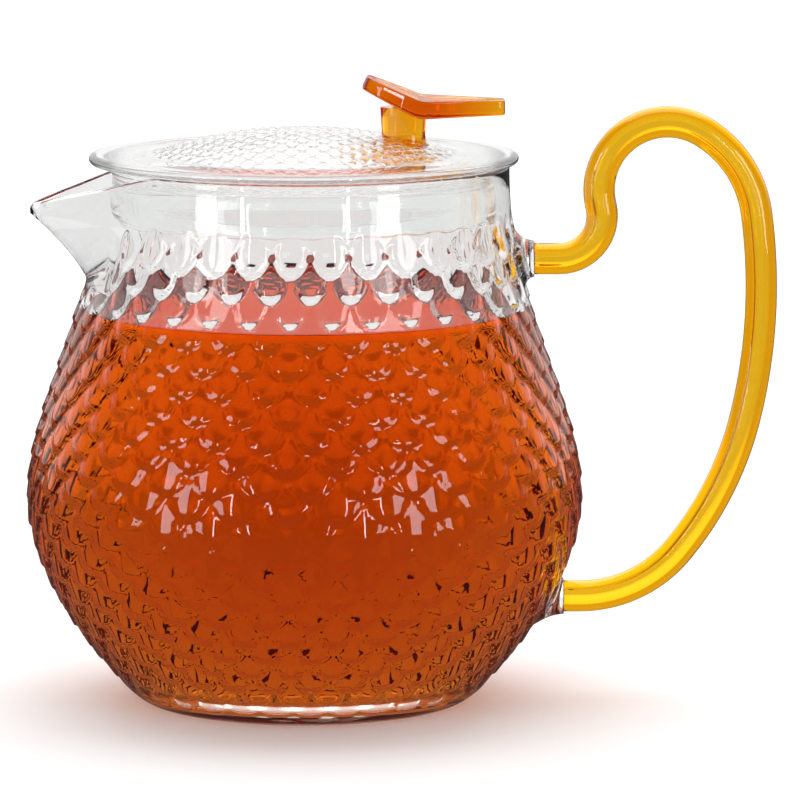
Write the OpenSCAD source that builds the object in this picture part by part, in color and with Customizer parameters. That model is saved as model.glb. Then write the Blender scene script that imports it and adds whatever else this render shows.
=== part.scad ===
// A pressed-glass teapot with a pouring lip, a drop-in lid with a leaf-shaped
// knob, and a hollow glass loop handle welded on with clear glass collars.
// +Z is up, +X points to the handle and the lip pours towards -X.

/* [Pot] */
// Radius of the widest part of the belly
belly_r = 65.6; // [62:0.1:69]
// Height of the widest part of the belly
belly_z = 47.7; // [42:0.1:53]
// Outer radius of the neck at the rim
rim_r = 48.1; // [46:0.1:50]
// Height of the rim
rim_z = 126.2; // [122:0.1:132]
// Radius of the flat that the pot stands on
foot_r = 38; // [34:1:41]
// Thickness of the glass wall
wall_t = 2; // [1.6:0.1:2.6]
// Thickness of the glass base
base_t = 4; // [3:0.5:6]

/* [Pouring lip] */
// Reach of the lip's tip from the pot's axis
lip_reach = 65.4; // [60:0.2:70]
// Height of the lip's tip
lip_z = 114.7; // [110:0.1:119]
// Height where the lip leaves the neck
lip_root_z = 99.7; // [96:0.1:104]
// Radius of the rounded tip
lip_tip_r = 5; // [4:0.5:6]

/* [Lid] */
// Radius of the lid's disc
lid_r = 50.1; // [49:0.1:52]
// Thickness of the lid's disc
lid_t = 2; // [1.6:0.1:3]
// Radius of the dome
dome_r = 36.5; // [34:0.5:40]
// Height of the dome above the disc
dome_h = 6; // [5:0.5:9]
// Outer radius of the skirt that drops into the neck
skirt_r = 44.8; // [44:0.1:45]
// Depth of the skirt below the disc
skirt_h = 13; // [6:0.5:15]

/* [Leaf knob] */
// Distance of the knob's stem from the pot's axis
stem_x = 23.2; // [20:0.2:24]
// Radius of the stem at its waist
stem_r = 4.4; // [3.5:0.1:5]
// Thickness of the leaf
leaf_t = 4; // [3:0.1:4.4]
// Width of the leaf's fan
leaf_w = 20; // [14:0.5:22]
// Upward tilt of the fan in degrees
leaf_tilt = 25; // [20:1:28]

/* [Handle] */
// Outer diameter of the handle's tube
tube_d = 7.4; // [6.8:0.1:8]
// Diameter of the tube's bore
tube_bore_d = 2.8; // [2:0.1:3.5]
// Height of the lower weld
lower_weld_z = 23.3; // [23:0.1:24]
// Radius of the clear collars where they meet the tube
collar_r = 4.6; // [4.2:0.1:5]

/* [Hidden] */
$fn = 64;
curve_steps = 22;
ring_turn = 9;
ring_sides = 16;
eps = 0.01;
clear_glass = [0.90, 0.95, 0.95, 0.35];
amber_glass = [0.88, 0.52, 0.05, 0.60];
yellow_glass = [0.93, 0.72, 0.08, 0.60];

// The handle's route as [length or radius, turn in degrees]; a turn of 0 is straight.
handle_start_x = 60.7;
handle_turns = [
    [4.2, 0], [29.5, 50.9], [79.5, 25.7], [129.5, 21.6],
    [26.3, 52], [15.9, 133.7], [10, -103.9], [6.1, 0]
];

function bezier(p, t) =
    pow(1 - t, 3) * p[0] + 3 * pow(1 - t, 2) * t * p[1]
    + 3 * (1 - t) * t * t * p[2] + pow(t, 3) * p[3];
function slope(p, t) =
    pow(1 - t, 2) * (p[1] - p[0]) + 2 * (1 - t) * t * (p[2] - p[1])
    + t * t * (p[3] - p[2]);
function inward(v) = [-v[1], v[0]] / norm(v);
function steps() = [for (i = [0 : curve_steps]) i / curve_steps];

lower_curve = [
    [foot_r, 0], [foot_r + 3.3, 0], [belly_r, belly_z - 22.7], [belly_r, belly_z]
];
upper_curve = [
    [belly_r, belly_z], [belly_r, belly_z + 23], [rim_r, rim_z - 35.6], [rim_r, rim_z]
];

// Points of one curve moved inwards by a distance; none lies below the inner floor.
function shifted(p, distance, lowest) = [
    for (t = steps())
        let (q = bezier(p, t) + distance * inward(slope(p, t)))
            [q[0], max(q[1], lowest)]
];
function drop_first(list) = [for (i = [1 : len(list) - 1]) list[i]];
function above(list, z) = [for (q = list) if (q[1] > z + eps) q];

// One move along the handle's route from a state [x, z, heading].
function move(from, size, turn) =
    let (next = from[2] + turn, side = sign(turn))
        turn == 0
        ? [from[0] + size * cos(next), from[1] + size * sin(next), next]
        : [
            from[0] + size * side * (sin(next) - sin(from[2])),
            from[1] + size * side * (cos(from[2]) - cos(next)),
            next
        ];
function rest_of_route(i, from) =
    i == len(handle_turns) ? [from]
    : let (
        size = handle_turns[i][0],
        turn = handle_turns[i][1],
        parts = max(1, ceil(abs(turn) / ring_turn)),
        bit = turn / parts
    ) concat(
        [for (k = [0 : parts - 1]) k == 0 ? from : move(from, size, bit * k)],
        rest_of_route(i + 1, move(from, size, turn))
    );
handle_route = rest_of_route(0, [handle_start_x, lower_weld_z, 0]);
handle_end = handle_route[len(handle_route) - 1];

module pot_outside() {
    rotate_extrude($fn = 96)
        polygon(concat(
            [[0, 0]],
            shifted(lower_curve, 0, 0),
            drop_first(shifted(upper_curve, 0, 0)),
            [[0, rim_z]]
        ));
}

module pot_inside() {
    lower = above(shifted(lower_curve, wall_t, base_t), base_t);
    rotate_extrude($fn = 96)
        polygon(concat(
            [[0, base_t], [foot_r, base_t]],
            lower,
            drop_first(shifted(upper_curve, wall_t, base_t)),
            [[rim_r - wall_t, rim_z + 1], [0, rim_z + 1]]
        ));
}

// The lip's form: a hull from the neck to a small round tip, "inset" inside the glass.
module lip_form(inset, rise) {
    hull() {
        translate([0, 0, lip_root_z + inset])
            cylinder(r = rim_r + 1.2 - inset, h = 1, $fn = 32);
        translate([0, 0, rim_z - 1])
            cylinder(r = rim_r - 0.9 - inset, h = 1 + rise, $fn = 32);
        translate([-(lip_reach - lip_tip_r), 0, lip_z - 1.5 + inset])
            cylinder(r = lip_tip_r - inset, h = 1.5 - inset + rise, $fn = 32);
    }
}

module pour_side(reach) {
    translate([-reach, -reach, 0])
        cube([reach - 20, 2 * reach, 2 * rim_z]);
}

module body() {
    color(clear_glass) {
        difference() {
            union() {
                pot_outside();
                intersection() {
                    lip_form(0, 0);
                    pour_side(80);
                }
            }
            pot_inside();
            intersection() {
                lip_form(wall_t, 15);
                pour_side(70);
            }
        }
    }
}

// A ring of points across the route at a state, with the given diameter.
function ring(at, d) = [
    for (k = [0 : ring_sides - 1])
        let (a = 360 * k / ring_sides, across = d / 2 * cos(a))
            [at[0] - across * sin(at[2]), d / 2 * sin(a), at[1] + across * cos(at[2])]
];
function join_rings(first, second) = [
    for (k = [0 : ring_sides - 1])
        let (n = (k + 1) % ring_sides)
            [first + k, first + n, second + n, second + k]
];

module handle() {
    count = len(handle_route);
    bore = count * ring_sides;
    outside = [for (at = handle_route) each ring(at, tube_d)];
    inside = [for (at = handle_route) each ring(at, tube_bore_d)];
    last = (count - 1) * ring_sides;
    color(yellow_glass) {
        polyhedron(
            points = concat(outside, inside),
            faces = concat(
                [for (i = [0 : count - 2])
                    each join_rings(i * ring_sides, (i + 1) * ring_sides)],
                [for (i = [0 : count - 2])
                    each join_rings(bore + (i + 1) * ring_sides, bore + i * ring_sides)],
                join_rings(bore, 0),
                join_rings(last, bore + last)
            )
        );
    }
}

// A clear collar from the pot's wall to the end face of the tube.
module weld_collar(face_x, z, depth) {
    color(clear_glass) {
        difference() {
            translate([face_x - depth, 0, z])
                rotate([0, 90, 0])
                    cylinder(r1 = collar_r + 1.4, r2 = collar_r, h = depth);
            pot_outside();
        }
    }
}

module handle_upper_joint() {
    weld_collar(handle_end[0], handle_end[1], 8);
}

module handle_lower_joint() {
    weld_collar(handle_start_x, lower_weld_z, 8);
}

dome_sphere_r = (dome_r * dome_r + dome_h * dome_h) / (2 * dome_h);
lid_top = rim_z + lid_t;

module lid_dome(shell) {
    intersection() {
        translate([0, 0, lid_top + dome_h - dome_sphere_r])
            sphere(r = dome_sphere_r - shell, $fn = 96);
        translate([0, 0, rim_z - eps * (shell > 0 ? 1 : 0)])
            cylinder(r = dome_r - shell, h = dome_h + 2 * lid_t);
    }
}

module lid() {
    edge_r = lid_t / 2;
    color(clear_glass) {
        difference() {
            union() {
                translate([0, 0, rim_z])
                    cylinder(r = lid_r - edge_r, h = lid_t);
                translate([0, 0, rim_z + edge_r])
                    rotate_extrude()
                        translate([lid_r - edge_r, 0])
                            circle(r = edge_r, $fn = 32);
                lid_dome(0);
                translate([0, 0, rim_z - skirt_h])
                    cylinder(r = skirt_r, h = skirt_h);
            }
            translate([0, 0, rim_z - skirt_h - 1])
                cylinder(r = skirt_r - wall_t, h = skirt_h + 1);
            lid_dome(lid_t);
        }
    }
}

leaf_z = lid_top + dome_h + 4.9;

module leaf_pad(x, width, z) {
    translate([x, 0, z])
        cylinder(d = width, h = leaf_t, center = true, $fn = 32);
}

module lid_knob() {
    fan_length = 15;
    tip_w = 9;
    tip_corner_r = 2.5;
    tail_length = 19;
    tail_w = 7;
    bend_x = stem_x + 4.6;
    color(amber_glass) {
        difference() {
            translate([stem_x, 0, lid_top])
                cylinder(r1 = stem_r + 1.3, r2 = stem_r + 0.6, h = leaf_z - lid_top);
            lid_dome(lid_t / 2);
        }
        intersection() {
            hull() {
                leaf_pad(bend_x - 2, leaf_w * 0.95, leaf_z);
                leaf_pad(bend_x + tail_length - tail_w / 2, tail_w, leaf_z);
            }
            translate([bend_x - 1, -leaf_w, leaf_z - leaf_t])
                cube([2 * tail_length, 2 * leaf_w, 2 * leaf_t]);
        }
        translate([bend_x, 0, leaf_z])
            rotate([0, leaf_tilt, 0])
                intersection() {
                    hull() {
                        leaf_pad(-2, leaf_w * 0.95, 0);
                        for (side = [-1, 1])
                            translate([-fan_length + tip_corner_r, side * (tip_w / 2 - tip_corner_r), 0])
                                cylinder(r = tip_corner_r, h = leaf_t, center = true, $fn = 32);
                    }
                    translate([-2 * fan_length, -leaf_w, -leaf_t])
                        cube([2 * fan_length, 2 * leaf_w, 2 * leaf_t]);
                }
    }
}

body();
handle();
handle_upper_joint();
handle_lower_joint();
lid();
lid_knob();
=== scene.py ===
import math

import bmesh
import bpy
import numpy as np
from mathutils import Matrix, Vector


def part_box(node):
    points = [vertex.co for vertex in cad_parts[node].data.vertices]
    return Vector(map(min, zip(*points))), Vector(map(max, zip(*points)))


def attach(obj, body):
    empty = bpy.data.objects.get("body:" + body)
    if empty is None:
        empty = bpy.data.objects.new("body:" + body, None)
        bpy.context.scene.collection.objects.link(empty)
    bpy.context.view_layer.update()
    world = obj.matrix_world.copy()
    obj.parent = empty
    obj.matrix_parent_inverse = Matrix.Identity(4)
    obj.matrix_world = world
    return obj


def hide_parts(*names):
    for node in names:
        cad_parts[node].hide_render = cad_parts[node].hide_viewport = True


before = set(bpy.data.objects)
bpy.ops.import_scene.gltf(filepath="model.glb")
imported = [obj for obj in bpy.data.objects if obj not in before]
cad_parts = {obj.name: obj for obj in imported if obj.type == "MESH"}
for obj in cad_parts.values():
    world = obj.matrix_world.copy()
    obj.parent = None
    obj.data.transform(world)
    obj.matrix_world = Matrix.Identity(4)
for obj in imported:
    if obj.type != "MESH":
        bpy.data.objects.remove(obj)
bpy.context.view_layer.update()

MM = 0.001

# ---------------------------------------------------------------- sizes in millimetres
# Pot. The pulls are the lengths of the handles of its outline's curves.
POT_LOW, POT_HIGH = (np.array(corner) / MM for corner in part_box("body"))
RIM_Z = POT_HIGH[2]
RIM_R = 48.6
RIM_PULL = 35.0
BELLY_R = POT_HIGH[1]
BELLY_Z = 47.7
BELLY_PULL_UP = 23.0
BELLY_PULL_DOWN = 22.7
FOOT_R = 38.0
FOOT_PULL = 3.3
WALL = 2.1
BASE = 4.2
BASE_HOLLOW = 0.9

# Pouring lip. It leaves the neck at its root, and the rim falls from LIP_FALL_X on to the tip.
# LIP_SETBACK keeps the tip a little inside the line of the belly.
LIP_REACH = -POT_LOW[0]
LIP_SETBACK = 0.9
LIP_ROOT_Z = 99.2
LIP_ROOT_R = 16.0
LIP_TIP_Z = 115.3
LIP_TIP_R = 5.0
LIP_FALL_X = 34.0

# Scales on the pot. PLAIN_BAND is the smooth glass below the rim, PLAIN_LEVEL its share of the relief.
# A scale's face rises from its middle to its lower lip and falls off to its sides, as shares of the relief.
SCALES_ROUND = 35
SCALE_ROW = 6.1
SCALE_LENGTH = 1.08
SCALE_MIDDLE = 0.66
SCALE_LIP_RISE = 0.34
SCALE_SIDE_FALL = 0.42
ROW_TIGHTENING = 0.0009
RELIEF = 1.3
PLAIN_LEVEL = 0.5
PLAIN_BAND = 20.4

# Tea. It lies a little inside the wall's glass, so that no film of air is left between them.
TEA_Z = 91.3
TEA_OVERLAP = 0.12
MENISCUS_H = 1.2
MENISCUS_W = 4.5

# Lid
DISC_T = 2.0
DOME_R = 36.5
SKIRT_R = 44.8
SKIRT_T = 2.0
PILLOW_X = 4.9
PILLOW_Y = 6.6
PILLOW_H = 0.7

# Handle. Its route is a list of (length or radius, turn in degrees); a turn of 0 is straight.
TUBE_R = 3.7
BORE_R = 1.4
HANDLE_START = (60.7, 23.3)
HANDLE_TURNS = (
    (4.2, 0.0), (29.5, 50.9), (79.5, 25.7), (129.5, 21.6),
    (26.3, 52.0), (15.9, 133.7), (10.0, -103.9), (6.1, 0.0),
)

# Collars, as (length along the weld, radius) from the pot to the tube
COLLAR_LOW, COLLAR_HIGH = -1.2, 4.2
COLLAR_CURVE = (
    (COLLAR_LOW, TUBE_R + 4.0), (0.8, TUBE_R + 1.0), (2.0, TUBE_R + 0.9), (COLLAR_HIGH, TUBE_R + 0.55),
)
COLLAR_INTO_POT = 0.9
COLLAR_INTO_TUBE = 0.3

# Leaf knob. LEAF_OUTLINE is (share of the length, half width), LEAF_SWELL (share, share of LEAF_T).
STEM_X = 23.2
STEM_R = 4.9
STEM_FOOT_ABOVE_RIM = 3.6
LEAF_T = 3.8
LEAF_TILT = 24.5
LEAF_BEND_X = 27.3
LEAF_ABOVE_RIM = 12.9
LEAF_BEVEL = 0.45
LEAF_GROOVE = 0.55
LEAF_GROOVES = 5
LEAF_OUTLINE = ((0.0, 4.6), (0.12, 7.2), (0.3, 9.4), (0.46, 9.8), (0.72, 6.6), (1.0, 3.6))
LEAF_SWELL = ((0.0, 0.8), (0.45, 1.1), (1.0, 0.9))

bpy.context.scene.view_settings.view_transform = "Standard"


# ---------------------------------------------------------------- shape helpers
def bezier(points, steps):
    """Points along one cubic curve, both ends included."""
    t = np.linspace(0.0, 1.0, steps)[:, None]
    a, b, c, d = (np.array(p, float) for p in points)
    return (1 - t) ** 3 * a + 3 * (1 - t) ** 2 * t * b + 3 * (1 - t) * t * t * c + t**3 * d


def lengths_along(points):
    """The length from a polyline's first point to each of its points."""
    return np.concatenate([[0.0], np.cumsum(np.linalg.norm(np.diff(points, axis=0), axis=1))])


def evenly(points, steps):
    """The polyline resampled to steps points that lie evenly along it."""
    lengths = lengths_along(points)
    at = np.linspace(0.0, lengths[-1], steps)
    return np.stack([np.interp(at, lengths, column) for column in points.T], axis=1)


def normals_of(points):
    """Unit normals of an (r, z) polyline, on the side away from the axis when it runs upwards."""
    along = np.gradient(points, axis=0)
    along /= np.linalg.norm(along, axis=1)[:, None]
    return np.stack([along[:, 1], -along[:, 0]], axis=1)


def full_turn(sides):
    """The angles of the points on a ring."""
    return np.linspace(0.0, 2 * math.pi, sides, endpoint=False)


def smooth_step(x, low, high):
    t = np.clip((x - low) / (high - low), 0.0, 1.0)
    return t * t * (3 - 2 * t)


def smooth_max(a, b, softness):
    return 0.5 * (a + b + np.sqrt((a - b) ** 2 + softness**2))


def face_outwards(mesh):
    """Turns every face of a closed mesh to the outside: glass and liquid need to know which side is in."""
    whole = bmesh.new()
    whole.from_mesh(mesh)
    bmesh.ops.recalc_face_normals(whole, faces=whole.faces)
    if whole.calc_volume(signed=True) < 0:
        bmesh.ops.reverse_faces(whole, faces=whole.faces)
    whole.to_mesh(mesh)
    whole.free()


def shade_smooth(mesh):
    mesh.polygons.foreach_set("use_smooth", [True] * len(mesh.polygons))


def piece_from(name, verts, faces, material, smooth=True):
    """A mesh object from millimetre points and faces."""
    mesh = bpy.data.meshes.new(name)
    mesh.from_pydata([tuple(v) for v in np.asarray(verts) * MM], [], faces)
    mesh.update()
    face_outwards(mesh)
    if smooth:
        shade_smooth(mesh)
    obj = bpy.data.objects.new(name, mesh)
    bpy.context.collection.objects.link(obj)
    obj.data.materials.append(material)
    return obj


def faces_between(rings, closed=False):
    """Faces between rings of points, an array (ring, point on the ring, xyz).

    closed also joins the last ring to the first."""
    count, sides = rings.shape[:2]
    faces = []
    for i in range(count if closed else count - 1):
        a, b = i * sides, (i + 1) % count * sides
        for k in range(sides):
            n = (k + 1) % sides
            faces.append((a + k, a + n, b + n, b + k))
    return faces


def closed_surface(name, rings, material):
    """A closed mesh from rings; the first and the last are each closed with a point at their centre."""
    count, sides = rings.shape[:2]
    verts = list(rings.reshape(-1, 3)) + [rings[0].mean(axis=0), rings[-1].mean(axis=0)]
    first_centre, last_centre = count * sides, count * sides + 1
    last = (count - 1) * sides
    faces = faces_between(rings)
    faces += [((k + 1) % sides, k, first_centre) for k in range(sides)]
    faces += [(last + k, last + (k + 1) % sides, last_centre) for k in range(sides)]
    return piece_from(name, verts, faces, material)


def turned(profile, sides):
    """Rings of an (r, z) profile turned about +Z."""
    angle = full_turn(sides)
    r, z = profile[:, :1], np.repeat(profile[:, 1:], sides, axis=1)
    return np.stack([r * np.cos(angle), r * np.sin(angle), z], axis=2)


# ---------------------------------------------------------------- scale relief
def scale_height(across, along):
    """Height from 0 to 1 of overlapping scales: pointed tops, round raised lower lips.

    across counts scales round the pot. along counts rows downwards, and row 0 is the first."""
    height = np.zeros(np.broadcast(across, along).shape)
    nearest = np.floor(along)
    for step in (-1, 0, 1, 2):
        row = nearest + step
        shift = 0.5 * (row % 2)
        column = np.round(across - shift) + shift
        u = 2.0 * (across - column)
        v = along - row
        outline = np.where(v < 0, np.abs(u) - v, np.sqrt(u * u + (v / SCALE_LENGTH) ** 2))
        face = SCALE_MIDDLE + SCALE_LIP_RISE * v - SCALE_SIDE_FALL * u * u
        edge = smooth_step(1.0 - outline, 0.0, 0.25)
        shown = (outline < 1.0) & (row >= 0)
        height = np.maximum(height, np.where(shown, face * edge, 0.0))
    return height


def rows_within(length):
    """How many rows of scales fit in a length from the rim; the rows draw closer further down."""
    return length / SCALE_ROW * (1.0 + ROW_TIGHTENING * length)


def turn_from_lip(sides):
    """The angle of each point on a ring from the lip's middle line, from 0 to pi."""
    return np.abs(np.angle(np.exp(1j * (full_turn(sides) - math.pi))))


def pot_relief(profile, sides):
    """How far the relief moves the pot's outside, never above 0: no scales on rim band, lip and foot."""
    lengths = lengths_along(profile)
    below_rim = (lengths[-1] - lengths)[:, None]
    down = rows_within(below_rim) - rows_within(PLAIN_BAND) + SCALE_LENGTH
    across = (full_turn(sides) / (2 * math.pi) * SCALES_ROUND)[None, :]
    r, z = profile[:, :1], profile[:, 1:]
    as_high_as_lip = smooth_step(z, LIP_ROOT_Z - 8.0, LIP_ROOT_Z + 4.0)
    beside_lip = smooth_step(turn_from_lip(sides)[None, :], math.radians(26), math.radians(36))
    on_lip = as_high_as_lip * (1.0 - beside_lip)
    above_scales = smooth_step(-down, -0.5, 1.0)
    plain = PLAIN_LEVEL * np.maximum(above_scales, on_lip)
    height = np.maximum(scale_height(across, down) * (1.0 - on_lip), plain)
    off_foot = smooth_step(r, FOOT_R - 6.0, FOOT_R + 3.0) * smooth_step(z, 2.5, 6.0)
    return RELIEF * off_foot * (height - 1.0)


# ---------------------------------------------------------------- pot
def outer_profile(steps):
    """The pot's outside from the middle of its base to the rim."""
    top = RIM_Z - WALL / 2
    base = bezier(
        [(0.0, BASE_HOLLOW), (FOOT_R * 0.5, BASE_HOLLOW), (FOOT_R * 0.8, 0.0), (FOOT_R, 0.0)], 30
    )
    low = bezier(
        [(FOOT_R, 0), (FOOT_R + FOOT_PULL, 0), (BELLY_R, BELLY_Z - BELLY_PULL_DOWN), (BELLY_R, BELLY_Z)], 80
    )
    high = bezier(
        [(BELLY_R, BELLY_Z), (BELLY_R, BELLY_Z + BELLY_PULL_UP), (RIM_R, top - RIM_PULL), (RIM_R, top)], 80
    )
    return evenly(np.concatenate([base, low[1:], high[1:]]), steps)


def inner_profile(steps, wall):
    """The pot's inside, a wall's thickness in, with a thick rounded floor."""
    outside = outer_profile(600)
    inside = outside - wall * normals_of(outside)
    inside = inside[inside[:, 0] > 0.2]
    inside[:, 1] = smooth_max(inside[:, 1], BASE, 1.5)
    inside[-1, 1] = outside[-1, 1]
    return evenly(inside, steps)


def lip_radius(turn, r, reach, tip):
    """Plan radius of a neck of radius r that runs tangent to a round tip at the given reach.

    turn is the angle from the lip's middle line."""
    centre = np.maximum(reach - tip, 1e-3)
    edge = np.arccos(np.clip((r - tip) / centre, -1.0, 1.0))
    tip_turn = np.arctan2(tip * np.sin(edge), centre + tip * np.cos(edge))
    flat = r / np.maximum(np.cos(edge - turn), 0.2)
    root = np.sqrt(np.maximum(tip**2 - (centre * np.sin(turn)) ** 2, 0.0))
    round_end = centre * np.cos(turn) + root
    shaped = np.where(turn < tip_turn, round_end, flat)
    return np.where((turn < edge) & (reach > r), shaped, r)


def with_lip(profile, sides, inset, relief=0.0):
    """The turned profile, moved outwards by its relief, with the lip pulled out of its upper part."""
    angle = full_turn(sides)
    turn = turn_from_lip(sides)
    out = normals_of(profile)
    lift = np.zeros((len(profile), sides)) + relief
    r = profile[:, :1] + lift * out[:, :1]
    z = profile[:, 1:] + lift * out[:, 1:]

    # The rim falls in a straight line to the lip's tip, and the glass below it follows.
    top = profile[-1, 1]
    rim_plan = lip_radius(turn, RIM_R - inset, LIP_REACH - inset, LIP_TIP_R - inset)
    past = rim_plan * np.cos(turn) - LIP_FALL_X
    fall = (top - LIP_TIP_Z) / (LIP_REACH - LIP_FALL_X)
    edge = top - fall * np.maximum(past, 0.0)
    share = np.clip((z - LIP_ROOT_Z) / (top - LIP_ROOT_Z), 0.0, 1.0)
    low = np.where(z > LIP_ROOT_Z, LIP_ROOT_Z + share * (edge - LIP_ROOT_Z), z)

    # The higher up, the further the lip reaches and the narrower it gets.
    full_reach_z = LIP_TIP_Z - 1.0
    rise = np.clip((low - LIP_ROOT_Z) / (full_reach_z - LIP_ROOT_Z), 0.0, 1.0)
    tip = LIP_ROOT_R - (LIP_ROOT_R - LIP_TIP_R) * rise - inset
    plain = np.repeat(profile[:, :1], sides, axis=1)
    reach = plain + (LIP_REACH - RIM_R - LIP_SETBACK) * rise ** 1.1
    r = r + lip_radius(turn[None, :], plain, reach, tip) - plain
    return np.stack([r * np.cos(angle), r * np.sin(angle), low], axis=2)


def make_pot(glass):
    """The vessel: scale relief outside, smooth inside, a rounded rim between them."""
    sides = SCALES_ROUND * 13
    outside = outer_profile(200)
    inside = inner_profile(32, WALL)
    shell = with_lip(outside, sides, 0.0, pot_relief(outside, sides))
    hollow = with_lip(inside, sides, WALL)
    middle = 0.5 * (shell[-1] + hollow[-1])
    half = 0.5 * (shell[-1] - hollow[-1])
    size = np.linalg.norm(half, axis=1)[:, None]
    up = np.array([0.0, 0.0, 1.0])
    bead = [
        middle + half * math.cos(a) + up * np.minimum(size, WALL / 2) * math.sin(a)
        for a in (math.pi * k / 6 for k in range(1, 6))
    ]
    rings = np.concatenate([shell[1:], np.array(bead), hollow[::-1]])
    return closed_surface("pot_glass", rings, glass)


def paint_faces(obj, material, chosen):
    """Gives a second material to the faces for which chosen(centre, normal) is true, in millimetres."""
    obj.data.materials.append(material)
    for face in obj.data.polygons:
        if chosen(face.center / MM, face.normal):
            face.material_index = 1


def touches_tea(centre, normal):
    """A face of the pot's inner wall below the tea's level.

    The floor is left out, because rays from below need its full mirror."""
    inwards = centre[0] * normal[0] + centre[1] * normal[1] < 0
    return BASE + 3.0 < centre[2] < TEA_Z and inwards


def on_tea_surface(centre, normal):
    return normal[2] > 0.3 and centre[2] > TEA_Z - 1.0


def make_tea(liquid):
    """The tea: it fills the belly to its level and wets the wall with a small meniscus."""
    inside = inner_profile(400, WALL - TEA_OVERLAP)
    wet = evenly(inside[inside[:, 1] < TEA_Z + MENISCUS_H], 70)
    edge_r, edge_z = wet[-1]
    away = np.linspace(0.0, 1.0, 12)[1:]
    meniscus = [(edge_r - MENISCUS_W * a, TEA_Z + (edge_z - TEA_Z) * math.exp(-5.0 * a)) for a in away]
    flat = [(r, TEA_Z) for r in np.linspace(edge_r - MENISCUS_W - 1.5, 1.0, 10)]
    profile = np.concatenate([wet, meniscus, flat])
    return closed_surface("tea", turned(profile, 128), liquid)


# ---------------------------------------------------------------- lid
def level_run(start, end, z, steps):
    """Points of a profile on one level."""
    return np.stack([np.linspace(start, end, steps), np.full(steps, z)], axis=1)


def lid_profiles(low_z, dome_z, disc_r):
    """The lid's dome from its middle outwards, and the rest of its outline back to the middle."""
    seat = RIM_Z
    top = seat + DISC_T
    dome_h = dome_z - top
    ball = (DOME_R**2 + dome_h**2) / (2 * dome_h)
    r = np.linspace(0.4, DOME_R, 90)
    dome = np.stack([r, dome_z - ball + np.sqrt(ball**2 - r**2)], axis=1)

    edge = DISC_T / 2
    flat = level_run(DOME_R + 0.6, disc_r - edge, top, 8)
    turn = np.linspace(math.pi / 2, -math.pi / 2, 9)[1:-1]
    rim = np.stack([disc_r - edge + edge * np.cos(turn), seat + edge + edge * np.sin(turn)], axis=1)
    under = level_run(disc_r - edge, SKIRT_R + 1.2, seat, 4)

    half = SKIRT_T / 2
    foot = low_z + half
    outer = [(SKIRT_R + 0.35, seat - 0.3), (SKIRT_R, seat - 1.2), (SKIRT_R, foot + 4), (SKIRT_R, foot)]
    bead = [
        (SKIRT_R - half + half * math.cos(a), foot - half * math.sin(a))
        for a in np.linspace(0, math.pi, 7)[1:-1]
    ]
    inner_r = SKIRT_R - SKIRT_T
    inner = [(inner_r, foot), (inner_r, foot + 5), (inner_r - 0.3, seat - 1.2), (inner_r - 1.4, seat)]

    ceiling_r = np.linspace(DOME_R - 1.4, 0.4, 30)
    ceiling_z = dome_z - ball + np.sqrt((ball - DISC_T) ** 2 - ceiling_r**2)
    ceiling = np.stack([ceiling_r, np.maximum(ceiling_z, seat)], axis=1)
    return dome, np.concatenate([flat, rim, under, outer, bead, inner, ceiling])


def hump(count):
    """A row of round-topped humps, one for every whole step of count; height from 0 to 1."""
    off_centre = 2.0 * (count - np.round(count))
    return 1.0 - off_centre**2


def make_lid(glass):
    """The lid: disc, skirt that drops into the neck, and dome with a lattice of small pillows."""
    low, high = (np.array(c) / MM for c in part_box("lid"))
    dome, rest = lid_profiles(low[2], high[2], high[0])
    sides = 288
    rings = turned(np.concatenate([dome, rest]), sides)

    # The lattice is laid flat over the dome, as a pressed pattern lies, and fades out at its edge.
    px = dome[:, :1] * np.cos(full_turn(sides)) / PILLOW_X
    py = dome[:, :1] * np.sin(full_turn(sides)) / PILLOW_Y
    height = hump(px + py) * hump(px - py)
    fade = 1.0 - smooth_step(dome[:, :1], DOME_R - 1.6, DOME_R - 0.2)
    rings[: len(dome), :, 2] += PILLOW_H * (height - 1.0) * fade
    return closed_surface("lid_glass", rings[::-1], glass)


# ---------------------------------------------------------------- handle
def handle_route(spacing):
    """States (x, z, heading) along the loop, from the lower weld to the upper one."""
    x, z = HANDLE_START
    heading = 0.0
    states = [(x, z, heading)]
    for size, turn_deg in HANDLE_TURNS:
        turn = math.radians(turn_deg)
        length = size * abs(turn) if turn else size
        count = max(2, int(length / spacing))
        for k in range(1, count + 1):
            share = k / count
            if turn:
                now = heading + turn * share
                side = math.copysign(1.0, turn)
                states.append((
                    x + size * side * (math.sin(now) - math.sin(heading)),
                    z + size * side * (math.cos(heading) - math.cos(now)),
                    now,
                ))
            else:
                go = size * share
                states.append((x + go * math.cos(heading), z + go * math.sin(heading), heading))
        x, z, heading = states[-1]
    return states


def tube_ring(state, radius, angle):
    """Points round the route at one of its states."""
    x, z, heading = state
    side = np.array([-math.sin(heading), 0.0, math.cos(heading)])
    across = np.array([0.0, 1.0, 0.0])
    spread = np.cos(angle)[:, None] * side + np.sin(angle)[:, None] * across
    return np.array([x, 0.0, z]) + radius * spread


def make_handle(glass):
    """The loop: a hollow tube, open at both ends, where the collars close its bore."""
    angle = full_turn(40)
    states = handle_route(1.3)
    outer = [tube_ring(s, TUBE_R, angle) for s in states]
    inner = [tube_ring(s, BORE_R, angle) for s in states]
    rings = np.array(outer + inner[::-1])
    return piece_from("handle_tube", rings.reshape(-1, 3), faces_between(rings, closed=True), glass)


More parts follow.
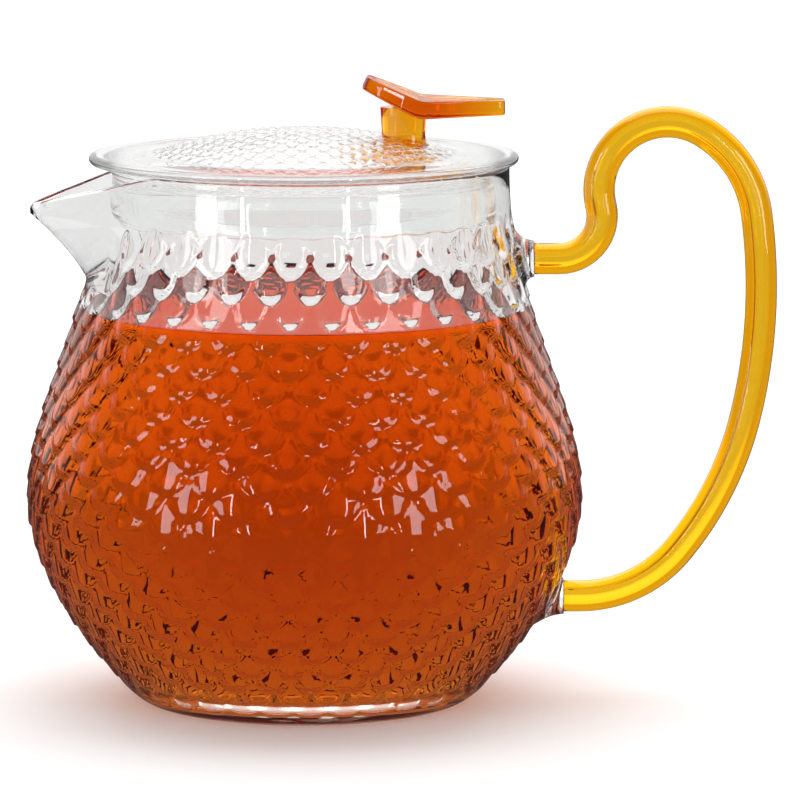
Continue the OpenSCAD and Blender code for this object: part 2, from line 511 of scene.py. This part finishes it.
def make_collar(name, face_x, z, glass):
    """A weld of clear glass, flared against the pot and drawn in to the tube."""
    outside = outer_profile(400)
    wall = outside[outside[:, 0] > FOOT_R]
    rings = []
    for along, radius in bezier(COLLAR_CURVE, 14):
        share = (along - COLLAR_LOW) / (COLLAR_HIGH - COLLAR_LOW)
        y = radius * np.cos(full_turn(48))
        high = z + radius * np.sin(full_turn(48))
        pot_r = np.interp(high, wall[:, 1], wall[:, 0])
        start = np.sqrt(pot_r**2 - y**2) - COLLAR_INTO_POT
        end = face_x + COLLAR_INTO_TUBE
        rings.append(np.stack([start + (end - start) * share, y, high], axis=1))
    return closed_surface(name, np.array(rings), glass)


# ---------------------------------------------------------------- knob
def plate_section(half_width, half_thick, groove):
    """Points (across, up) round a flat plate with bevelled edges and grooves along its top."""
    inner_w = half_width - LEAF_BEVEL
    inner_t = half_thick - LEAF_BEVEL
    flat = np.linspace(1.0, -1.0, 33)
    wave = groove * (0.5 - 0.5 * np.cos(flat * LEAF_GROOVES * math.pi)) * (1.0 - flat**8)
    top = np.stack([flat * inner_w, half_thick - wave], axis=1)
    bottom = np.stack([-flat * inner_w, np.full(33, -half_thick)], axis=1)
    turn = np.linspace(0.0, math.pi / 2, 5)[1:-1]
    corner = np.array([inner_w, inner_t]) + LEAF_BEVEL * np.stack([np.cos(turn), np.sin(turn)], axis=1)
    side = np.array([[1.0, 1.0], [1.0, 0.0], [1.0, -1.0]]) * (half_width, inner_t)
    left = [corner[::-1] * (-1, 1), side * (-1, 1), corner * (-1, -1)]
    right = [corner[::-1] * (1, -1), side[::-1], corner]
    return np.concatenate([top, *left, bottom, *right])


def rounded_end(from_end, radius):
    """How far an edge lies inside its full extent, at a distance from a rounded end."""
    short = np.clip(radius - from_end, 0.0, radius)
    return radius - np.sqrt(radius**2 - short**2)


def make_leaf(low_x, high_x, bar_z, glass):
    """The leaf: one plate, its fan tilted up before the bend and its narrow bar level behind it."""
    tilt = math.radians(LEAF_TILT)
    half_thick = LEAF_T / 2
    fan = (LEAF_BEND_X - low_x) / math.cos(tilt) - half_thick * math.tan(tilt)
    total = fan + high_x - LEAF_BEND_X

    # Stations along the plate, close together where its ends are rounded
    end = np.array([0.0, 0.08, 0.25, 0.5, 0.9, 1.4, 2.0])
    s = np.concatenate([end, np.linspace(2.8, total - 2.8, 64), total - end[::-1]])
    heading = -tilt + tilt * smooth_step(s, fan - 1.6, fan + 1.6)
    step = np.diff(s, prepend=0.0)
    x = low_x + half_thick * math.sin(tilt) + np.cumsum(step * np.cos(heading))
    z = np.cumsum(step * np.sin(heading))
    z += bar_z - z[-1]

    from_end = np.minimum(s, total - s)
    corner = np.where(s < total / 2, 2.2, 1.2)
    width = np.interp(s / total, *zip(*LEAF_OUTLINE)) - rounded_end(from_end, corner)
    thick = np.interp(s / total, *zip(*LEAF_SWELL)) * half_thick - rounded_end(from_end, 0.45)
    groove = LEAF_GROOVE * np.minimum(1.0, from_end / 1.5)
    rings = []
    for k in range(len(s)):
        section = plate_section(width[k], thick[k], groove[k])
        rings.append(np.stack([
            x[k] - section[:, 1] * math.sin(heading[k]),
            section[:, 0],
            z[k] + section[:, 1] * math.cos(heading[k]),
        ], axis=1))
    return closed_surface("leaf_knob", np.array(rings), glass)


def make_stem(low_z, high_z, glass):
    """The stem: oval, a little wider at the leaf and flared where it sits on the dome."""
    angle = full_turn(64)
    rings = []
    for share in np.linspace(0.0, 1.0, 24):
        radius = STEM_R + 0.5 * share + (1 - share) ** 8
        x = STEM_X + radius * np.cos(angle)
        y = 0.85 * radius * np.sin(angle)
        z = np.full(len(angle), low_z + (high_z - low_z) * share)
        rings.append(np.stack([x, y, z], axis=1))
    return closed_surface("leaf_stem", np.array(rings), glass)


def make_knob(glass):
    """The leaf knob: a bent, grooved leaf plate and its stem, joined to one closed mesh."""
    low, high = (np.array(c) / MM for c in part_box("lid_knob"))
    bar_z = RIM_Z + LEAF_ABOVE_RIM
    leaf = make_leaf(low[0], high[0], bar_z, glass)
    stem = make_stem(RIM_Z + STEM_FOOT_ABOVE_RIM, bar_z, glass)
    union = leaf.modifiers.new("join", "BOOLEAN")
    union.operation = "UNION"
    union.solver = "EXACT"
    union.object = stem
    bpy.context.view_layer.update()
    whole = bpy.data.meshes.new_from_object(leaf.evaluated_get(bpy.context.evaluated_depsgraph_get()))
    leaf.modifiers.clear()
    leaf.data = whole
    bpy.data.objects.remove(stem)
    shade_smooth(whole)
    whole.set_sharp_from_angle(angle=math.radians(40))
    return leaf


# ---------------------------------------------------------------- materials
def add_node(nodes, kind, settings=()):
    """A new node with some of its inputs set, as pairs (name, value)."""
    node = nodes.new(kind)
    for name, value in settings:
        node.inputs[name].default_value = value
    return node


def opaque(rgb):
    return tuple(rgb) + (1.0,)


def glass_material(name, tint, shadow, ior=1.47, mirrors=1.0, absorb=None, density=0.0, wave=0.03):
    """Clear or coloured glass: refracting skin with faint waves, plain see-through for shadow rays.

    mirrors is the share of the full mirror effect. Where glass and liquid touch it is 0:
    the skin then mirrors only the rays that can't get out."""
    material = bpy.data.materials.new(name)
    material.use_nodes = True
    nodes, links = material.node_tree.nodes, material.node_tree.links
    nodes.clear()
    place = nodes.new("ShaderNodeTexCoord")
    waves = add_node(nodes, "ShaderNodeTexNoise", [("Scale", 60.0), ("Detail", 2.0)])
    bump = add_node(nodes, "ShaderNodeBump", [("Strength", wave), ("Distance", 0.001)])
    shade = nodes.new("ShaderNodeValToRGB")
    shade.color_ramp.elements[0].color = opaque(0.97 * c for c in tint)
    shade.color_ramp.elements[1].color = opaque(tint)
    links.new(place.outputs["Object"], waves.inputs["Vector"])
    links.new(waves.outputs["Fac"], bump.inputs["Height"])
    links.new(waves.outputs["Fac"], shade.inputs["Fac"])

    def skin(kind):
        node = add_node(nodes, kind, [("Roughness", 0.0)])
        if "IOR" in node.inputs:
            node.inputs["IOR"].default_value = ior
        links.new(bump.outputs["Normal"], node.inputs["Normal"])
        links.new(shade.outputs["Color"], node.inputs[0])
        return node

    def blend(share, first, second):
        node = nodes.new("ShaderNodeMixShader")
        if isinstance(share, float):
            node.inputs["Fac"].default_value = share
        else:
            links.new(share, node.inputs["Fac"])
        links.new(first, node.inputs[1])
        links.new(second, node.inputs[2])
        return node.outputs["Shader"]

    if mirrors == 0.0:
        fresnel = add_node(nodes, "ShaderNodeFresnel", [("IOR", ior)])
        trapped = add_node(nodes, "ShaderNodeMapRange", [("From Min", 0.95), ("From Max", 0.99)])
        links.new(fresnel.outputs["Fac"], trapped.inputs["Value"])
        surface = blend(
            trapped.outputs["Result"],
            skin("ShaderNodeBsdfRefraction").outputs["BSDF"],
            skin("ShaderNodeBsdfAnisotropic").outputs["BSDF"],
        )
    else:
        mirroring = skin("ShaderNodeBsdfPrincipled")
        mirroring.inputs["Transmission Weight"].default_value = 1.0
        surface = mirroring.outputs["BSDF"]
        if mirrors < 1.0:
            surface = blend(mirrors, skin("ShaderNodeBsdfRefraction").outputs["BSDF"], surface)

    through = add_node(nodes, "ShaderNodeBsdfTransparent", [("Color", opaque(shadow))])
    rays = nodes.new("ShaderNodeLightPath")
    output = nodes.new("ShaderNodeOutputMaterial")
    surface = blend(rays.outputs["Is Shadow Ray"], surface, through.outputs["BSDF"])
    links.new(surface, output.inputs["Surface"])
    if absorb is not None:
        dye = [("Color", opaque(absorb)), ("Density", density)]
        volume = add_node(nodes, "ShaderNodeVolumeAbsorption", dye)
        links.new(volume.outputs["Volume"], output.inputs["Volume"])
    return material


def mirrored_ray(nodes, links):
    """A socket that is 1 for a ray mirrored off a surface and 0 for one that came through it."""
    rays = nodes.new("ShaderNodeLightPath")
    bounced = nodes.new("ShaderNodeMath")
    bounced.operation = "SUBTRACT"
    bounced.use_clamp = True
    links.new(rays.outputs["Is Glossy Ray"], bounced.inputs[0])
    links.new(rays.outputs["Is Transmission Ray"], bounced.inputs[1])
    return bounced.outputs["Value"]


def floor_material():
    """A pale table. Rays through the glass see a painted glow on it, as if lit from below, brightest under
    the pot.

    Mirrored rays see it painted dark, as they see the room."""
    material = bpy.data.materials.new("studio_floor")
    material.use_nodes = True
    nodes, links = material.node_tree.nodes, material.node_tree.links
    skin = nodes["Principled BSDF"]
    skin.inputs["Base Color"].default_value = (0.93, 0.93, 0.93, 1.0)
    skin.inputs["Roughness"].default_value = 0.9
    skin.inputs["Specular IOR Level"].default_value = 0.0
    place = nodes.new("ShaderNodeNewGeometry")
    from_pot = nodes.new("ShaderNodeVectorMath")
    from_pot.operation = "LENGTH"
    glow_range = [("From Min", 0.10), ("From Max", 0.32), ("To Min", 1.8), ("To Max", 0.9)]
    glow = add_node(nodes, "ShaderNodeMapRange", glow_range)
    glow.interpolation_type = "SMOOTHSTEP"
    # painted glow: an emission that stands in for light from below, brightest under the pot
    from_below = nodes.new("ShaderNodeEmission")
    # painted dark for mirrored rays, standing in for the dim room
    dark = add_node(nodes, "ShaderNodeEmission", [("Color", (0.08, 0.08, 0.08, 1.0))])
    through = nodes.new("ShaderNodeMixShader")
    mirrored = nodes.new("ShaderNodeMixShader")
    rays = nodes.new("ShaderNodeLightPath")
    links.new(place.outputs["Position"], from_pot.inputs[0])
    links.new(from_pot.outputs["Value"], glow.inputs["Value"])
    links.new(glow.outputs["Result"], from_below.inputs["Strength"])
    links.new(rays.outputs["Is Transmission Ray"], through.inputs["Fac"])
    links.new(skin.outputs["BSDF"], through.inputs[1])
    links.new(from_below.outputs["Emission"], through.inputs[2])
    links.new(mirrored_ray(nodes, links), mirrored.inputs["Fac"])
    links.new(through.outputs["Shader"], mirrored.inputs[1])
    links.new(dark.outputs["Emission"], mirrored.inputs[2])
    links.new(mirrored.outputs["Shader"], nodes["Material Output"].inputs["Surface"])
    return material


# ---------------------------------------------------------------- studio, in metres
AIM = Vector((0.0224, 0.0, 0.0700))
CAMERA_AWAY = 1.31
CAMERA_HEIGHT = 0.266
FRAME_WIDTH = 0.1878
LIGHTS_AIM = Vector((0.0, 0.0, 0.07))
FLOOR_HALF = 6.0

# Name, azimuth, elevation, distance, size, power. Azimuth 0 is over the camera, positive to the right.
SOFTBOXES = (
    ("strip_left", -33, 6, 1.6, (0.05, 0.9), 2.5),
    ("strip_right", 25, 6, 1.6, (0.05, 0.9), 2.5),
    ("window_left", -54, 10, 1.5, (0.34, 0.8), 5),
    ("window_right", 48, 10, 1.5, (0.34, 0.8), 5),
    ("overhead", 180, 65, 3.2, (4.0, 4.0), 80),
)


def make_floor():
    half = FLOOR_HALF / MM
    corners = [(-half, -half, 0.0), (half, -half, 0.0), (half, half, 0.0), (-half, half, 0.0)]
    floor = piece_from("floor", corners, [(0, 1, 2, 3)], floor_material(), smooth=False)
    floor.location.z = -0.0002


def make_world():
    """White studio behind and above, dimmer towards the camera, dark there for mirrored rays."""
    world = bpy.data.worlds.new("studio")
    bpy.context.scene.world = world
    world.use_nodes = True
    nodes, links = world.node_tree.nodes, world.node_tree.links
    nodes.clear()
    output = nodes.new("ShaderNodeOutputWorld")
    room = add_node(nodes, "ShaderNodeBackground", [("Strength", 1.0)])
    place = nodes.new("ShaderNodeTexCoord")
    split = nodes.new("ShaderNodeSeparateXYZ")
    links.new(place.outputs["Generated"], split.inputs["Vector"])

    def towards_back(start, end, dark):
        span = [("From Min", start), ("From Max", end), ("To Min", dark), ("To Max", 1.0)]
        ramp = add_node(nodes, "ShaderNodeMapRange", span)
        ramp.interpolation_type = "SMOOTHSTEP"
        links.new(split.outputs["Y"], ramp.inputs["Value"])
        return ramp.outputs["Result"]

    mix = nodes.new("ShaderNodeMix")
    mix.data_type = "RGBA"
    links.new(mirrored_ray(nodes, links), mix.inputs["Factor"])
    links.new(towards_back(-0.25, 0.35, 0.6), mix.inputs["A"])
    links.new(towards_back(0.2, 0.8, 0.03), mix.inputs["B"])
    links.new(mix.outputs["Result"], room.inputs["Color"])
    links.new(room.outputs["Background"], output.inputs["Surface"])


def make_softbox(name, azimuth, elevation, distance, size, power):
    """A rectangular light that faces the pot."""
    light = bpy.data.lights.new(name, "AREA")
    light.shape = "RECTANGLE"
    light.size, light.size_y = size
    light.energy = power
    obj = bpy.data.objects.new(name, light)
    bpy.context.collection.objects.link(obj)
    a, e = math.radians(azimuth), math.radians(elevation)
    offset = Vector((math.sin(a) * math.cos(e), -math.cos(a) * math.cos(e), math.sin(e)))
    obj.location = LIGHTS_AIM + offset * distance
    obj.rotation_euler = (-offset).to_track_quat("-Z", "Y").to_euler()
    return obj


def make_lights():
    """The softboxes. Rays through the glass don't see the overhead one."""
    for settings in SOFTBOXES:
        light = make_softbox(*settings)
        light.visible_transmission = light.name != "overhead"


def make_camera():
    """The camera looks along +Y from a little above the lid, far enough away for a long lens."""
    data = bpy.data.cameras.new("camera")
    camera = bpy.data.objects.new("camera", data)
    bpy.context.collection.objects.link(camera)
    camera.location = (AIM.x, -CAMERA_AWAY, CAMERA_HEIGHT)
    look = AIM - camera.location
    camera.rotation_euler = look.to_track_quat("-Z", "Y").to_euler()
    data.sensor_width = 36.0
    data.lens = data.sensor_width * look.length / FRAME_WIDTH
    data.clip_end = 100.0
    bpy.context.scene.camera = camera


# ---------------------------------------------------------------- assembly
cycles = bpy.context.scene.cycles
cycles.max_bounces = 32
cycles.transmission_bounces = 32
cycles.glossy_bounces = 12
cycles.transparent_max_bounces = 40
make_camera()
make_floor()
make_world()
make_lights()

CLEAR = dict(tint=(0.97, 0.975, 0.97), shadow=(0.95, 0.95, 0.945))
YELLOW = dict(tint=(1.0, 0.99, 0.95), shadow=(0.95, 0.80, 0.45), absorb=(0.966, 0.833, 0.0), density=900.0)
AMBER = dict(tint=(1.0, 0.98, 0.93), shadow=(0.90, 0.62, 0.30), absorb=(0.97, 0.80, 0.0), density=600.0)
TEA = dict(
    tint=(1.0, 0.98, 0.96), shadow=(0.99, 0.93, 0.88), absorb=(0.90, 0.565, 0.0), density=57.0,
    ior=1.333, wave=0.0,
)
clear = glass_material("clear_glass", **CLEAR)
wet = glass_material("wet_glass", mirrors=0.0, **CLEAR)
yellow = glass_material("yellow_glass", **YELLOW)
amber = glass_material("amber_glass", **AMBER)
tea_side = glass_material("tea_against_glass", mirrors=0.0, **TEA)
tea_top = glass_material("tea_surface", mirrors=0.35, **TEA)

pot = make_pot(clear)
paint_faces(pot, wet, touches_tea)
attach(pot, "pot")
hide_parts("body")

tea = make_tea(tea_side)
paint_faces(tea, tea_top, on_tea_surface)
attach(tea, "pot")

lid = make_lid(clear)
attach(lid, "lid")
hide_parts("lid")

knob = make_knob(amber)
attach(knob, "lid")
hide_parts("lid_knob")

handle = make_handle(yellow)
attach(handle, "pot")
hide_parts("handle")

upper_end = handle_route(2.0)[-1]
lower = make_collar("lower_collar", HANDLE_START[0], HANDLE_START[1], clear)
upper = make_collar("upper_collar", upper_end[0], upper_end[1], clear)
for collar, node in ((lower, "handle_lower_joint"), (upper, "handle_upper_joint")):
    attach(collar, "pot")
    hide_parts(node)
